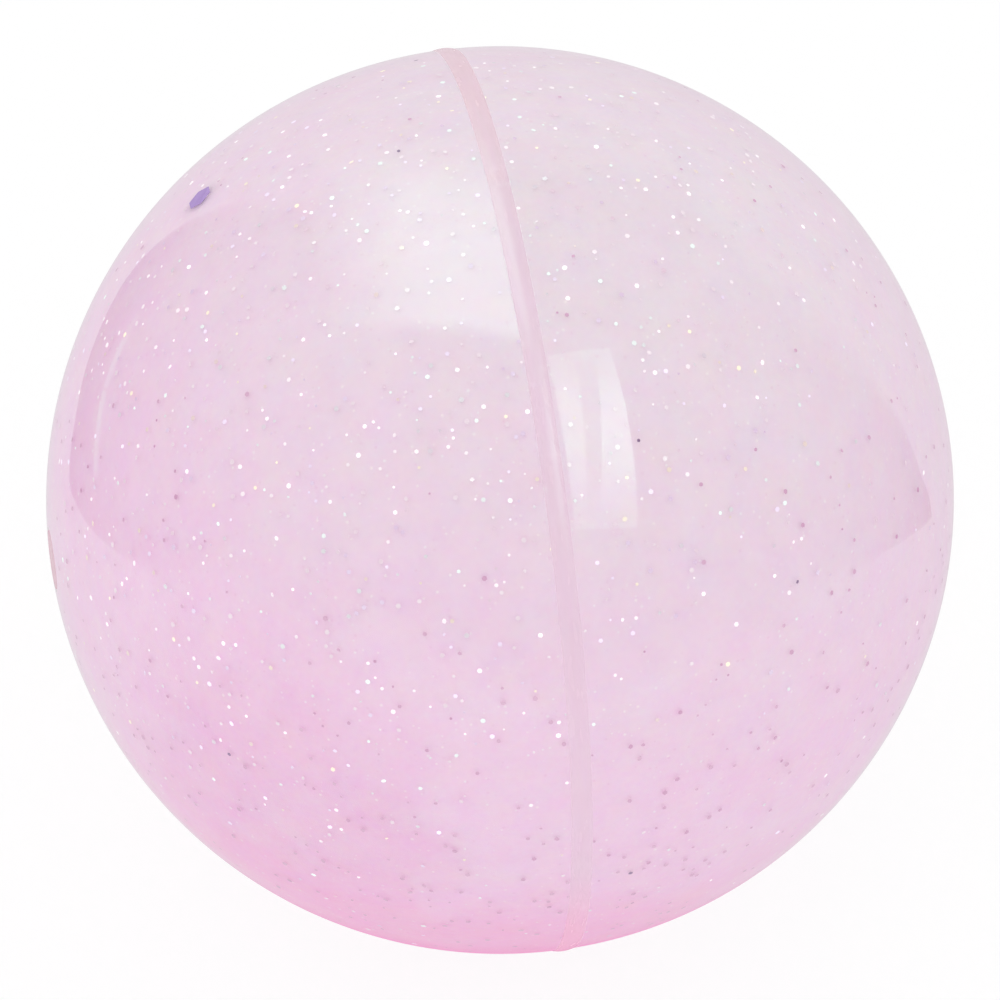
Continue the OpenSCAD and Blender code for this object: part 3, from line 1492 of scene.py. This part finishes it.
@dataclass
class Studio:
    """Plain photo studio: white paper, a soft key lamp and what the skin mirrors."""

    view: Viewpoint = Viewpoint()
    floor_half: float = 0.6
    floor_white: str = "#FFFFFF"
    shadow_share: float = 0.16
    shadow_reach: float = 0.16
    paper_r: float = 2.5
    paper_subdivisions: int = 3
    paper_grey: str = "#E6E5E6"
    paper_shade: str = "#DFD6DC"
    shade_way: Way = (0.784, 0.407, 0.468)
    shade_reach: float = 0.35
    pool_r_mm: float = 26.0
    pool_steps: int = 48
    pool_lift_mm: float = 0.2
    pool_pink: str = "#F3A2D0"
    ambient: float = 0.97
    key_way: Way = (-0.25, -0.1, 0.96)
    key_distance: float = 1.2
    key_size: float = 0.7
    key_watts: float = 0.7
    room: DimRoom = DimRoom()
    cards: list[Card] = field(default_factory=lambda: [
        Card("softbox", ((326, 345), (527, 350), (489, 140), (320, 140)), 3.2, (0.6, 0.03, 0.1, 0.6)),
        Card("window_left", ((575, 532), (588, 530), (577, 352), (547, 354)), 3.4, (0.05, 0.2, 0.5, 0.3)),
        Card("window_right", ((597, 526), (638, 528), (609, 345), (594, 348)), 4.2, (0.04, 0.04, 0.5, 0.4)),
        Card("window_frame", ((576, 531), (638, 529), (609, 346), (548, 354)), 1.6, reach=0.32),
        Card("slit_low", ((94, 500), (101, 498), (109, 390), (102, 388)), 0.8, (0.3, 0.5, 0.3, 0.02)),
        Card("slit_high", ((102, 388), (109, 390), (148, 305), (142, 300)), 0.8, (0.3, 0.5, 0.02, 0.6)),
    ])

    def build(self, ball_r: float, floor_z: float) -> None:
        """Builds the studio round the ball.

        Args:
            ball_r: Radius of the skin.
            floor_z: Height of the floor.
        """
        self.view.add_camera()
        self._add_world()
        self._add_key()
        mirrored = [self._add_paper(), self._add_pool(floor_z), self.room.build(self.view, ball_r)]
        for card in self.cards:
            mirrored.append(card.build(self.view, ball_r))
        for item in mirrored:
            self._only_mirrored(item)
        floor = self._add_floor(floor_z)
        floor.visible_glossy = False
        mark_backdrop(floor, *mirrored)

    def _only_mirrored(self, item: bpy.types.Object) -> None:
        """Lets an item show in gloss alone."""
        item.visible_camera = False
        item.visible_diffuse = False
        item.visible_shadow = False
        item.visible_volume_scatter = False
        for material in item.data.materials:
            material.cycles.emission_sampling = "NONE"

    def _seen(self, tree: Tree) -> Socket:
        """Tells what the camera sees, by itself, in gloss or through glass, from light on its way."""
        return any_ray(tree, "Is Camera Ray", "Is Glossy Ray", "Is Transmission Ray")

    def _add_world(self) -> None:
        """Adds a world that is white to the eye and a little dimmer as light."""
        world = bpy.data.worlds.new("studio_air")
        world.use_nodes = True
        tree = world.node_tree
        tree.nodes.clear()
        light = add_node(
            tree, "ShaderNodeBackground", {"Color": linear(self.floor_white), "Strength": self.ambient}
        )
        white = add_node(tree, "ShaderNodeBackground", {"Color": linear(self.floor_white), "Strength": 1.0})
        mixed = add_node(
            tree, "ShaderNodeMixShader", {0: self._seen(tree), 1: light.outputs[0], 2: white.outputs[0]}
        )
        add_node(tree, "ShaderNodeOutputWorld", {"Surface": mixed.outputs[0]})
        bpy.context.scene.world = world
        bpy.context.scene.cycles.transparent_max_bounces = CLEAR_LAYERS
        bpy.context.scene.view_settings.view_transform = "Standard"

    def _add_key(self) -> None:
        """Adds the soft key lamp overhead."""
        data = bpy.data.lights.new("key_lamp", "AREA")
        data.shape = "DISK"
        data.size = self.key_size
        data.energy = self.key_watts
        lamp = bpy.data.objects.new("key_lamp", data)
        way = Vector(self.key_way).normalized()
        lamp.location = way * self.key_distance
        lamp.rotation_euler = (-way).to_track_quat("-Z", "Y").to_euler()
        lamp.visible_glossy = False
        bpy.context.scene.collection.objects.link(lamp)

    def _add_floor(self, floor_z: float) -> bpy.types.Object:
        """Adds the white floor, which keeps a faint shadow near the ball.

        Args:
            floor_z: Height of the floor.

        Returns:
            The floor.
        """
        material, tree = start_material("paper_floor")
        place = add_node(tree, "ShaderNodeTexCoord").outputs["Object"]
        away = add_node(tree, "ShaderNodeVectorMath", {0: place}, operation="LENGTH")
        open_share = add_node(
            tree,
            "ShaderNodeMapRange",
            {
                "Value": away.outputs["Value"],
                "From Min": 0.0,
                "From Max": self.shadow_reach,
                "To Min": 1 - self.shadow_share,
                "To Max": 1.0,
            },
            interpolation_type="SMOOTHSTEP",
        )
        glow_share = add_node(
            tree,
            "ShaderNodeMath",
            {0: open_share.outputs["Result"], 1: self._seen(tree)},
            operation="MULTIPLY",
        )
        paper = add_node(tree, "ShaderNodeBsdfDiffuse", {"Color": linear(self.floor_white)})
        glow = add_node(tree, "ShaderNodeEmission", {"Color": linear(self.floor_white), "Strength": 1.0})
        sheet = add_node(
            tree, "ShaderNodeMixShader", {0: glow_share.outputs[0], 1: paper.outputs[0], 2: glow.outputs[0]}
        )
        clear = add_node(tree, "ShaderNodeBsdfTransparent")
        back = add_node(tree, "ShaderNodeNewGeometry").outputs["Backfacing"]
        one_sided = add_node(
            tree, "ShaderNodeMixShader", {0: back, 1: sheet.outputs[0], 2: clear.outputs[0]}
        )
        end_material(tree, one_sided)

        mesh = bmesh.new()
        bmesh.ops.create_grid(mesh, x_segments=1, y_segments=1, size=self.floor_half)
        bmesh.ops.translate(mesh, verts=mesh.verts, vec=(0, 0, floor_z))
        return add_object("paper_floor", mesh, [material])

    def _add_paper(self) -> bpy.types.Object:
        """Adds the grey of paper in half shade, which the skin mirrors all round.

        Returns:
            The paper, darker towards the far right.
        """
        material, tree = start_material("paper_all_round")
        place = add_node(tree, "ShaderNodeTexCoord").outputs["Object"]
        along = add_node(
            tree, "ShaderNodeVectorMath", {0: place, 1: self.shade_way}, operation="DOT_PRODUCT"
        )
        reach = self.shade_reach * self.paper_r
        share = add_node(
            tree,
            "ShaderNodeMapRange",
            {"Value": along.outputs["Value"], "From Min": -reach, "From Max": reach},
        )
        grey = add_node(
            tree,
            "ShaderNodeMix",
            {
                MIX_FACTOR: share.outputs["Result"],
                MIX_A: linear(self.paper_grey),
                MIX_B: linear(self.paper_shade),
            },
            data_type="RGBA",
        )
        end_material(tree, add_node(tree, "ShaderNodeEmission", {"Color": grey.outputs[MIX_RESULT]}))
        mesh = bmesh.new()
        bmesh.ops.create_icosphere(mesh, subdivisions=self.paper_subdivisions, radius=self.paper_r)
        bmesh.ops.reverse_faces(mesh, faces=mesh.faces)
        return add_object("paper_all_round", mesh, [material])

    def _add_pool(self, floor_z: float) -> bpy.types.Object:
        """Adds a painted pool of the pink light that the ball throws on the paper under it, a glowing disc
        which the skin mirrors.

        Args:
            floor_z: Height of the floor.

        Returns:
            The pool of light.
        """
        material, tree = start_material("pink_pool")
        place = add_node(tree, "ShaderNodeTexCoord").outputs["Object"]
        away = add_node(tree, "ShaderNodeVectorMath", {0: place}, operation="LENGTH")
        pool_r = self.pool_r_mm * MM
        share = add_node(
            tree,
            "ShaderNodeMapRange",
            {
                "Value": away.outputs["Value"],
                "From Min": math.hypot(pool_r, floor_z),
                "From Max": math.hypot(pool_r / 2, floor_z),
            },
            interpolation_type="SMOOTHSTEP",
        )
        clear = add_node(tree, "ShaderNodeBsdfTransparent")
        pink = add_node(tree, "ShaderNodeEmission", {"Color": linear(self.pool_pink), "Strength": 1.0})
        faded = add_node(
            tree,
            "ShaderNodeMixShader",
            {0: share.outputs["Result"], 1: clear.outputs[0], 2: pink.outputs[0]},
        )
        end_material(tree, faded)
        mesh = bmesh.new()
        bmesh.ops.create_circle(mesh, cap_ends=True, segments=self.pool_steps, radius=pool_r)
        bmesh.ops.translate(mesh, verts=mesh.verts, vec=(0, 0, floor_z + self.pool_lift_mm * MM))
        return add_object("pink_pool", mesh, [material])


def main() -> None:
    """Builds the ball and the studio in order."""
    logging.basicConfig(level=logging.INFO, format="%(message)s")
    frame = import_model()
    cad_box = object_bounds()
    sizes = BallSizes()
    Studio().build(sizes.ball_r, cad_box[0].z)
    ClearWall(sizes).build()
    Weld(sizes).build()
    FillingPlug(sizes).build(frame["nodes"]["plug_bond"])
    Filling().build(frame["nodes"]["hex_sequins"])


if __name__ == "__main__":
    main()
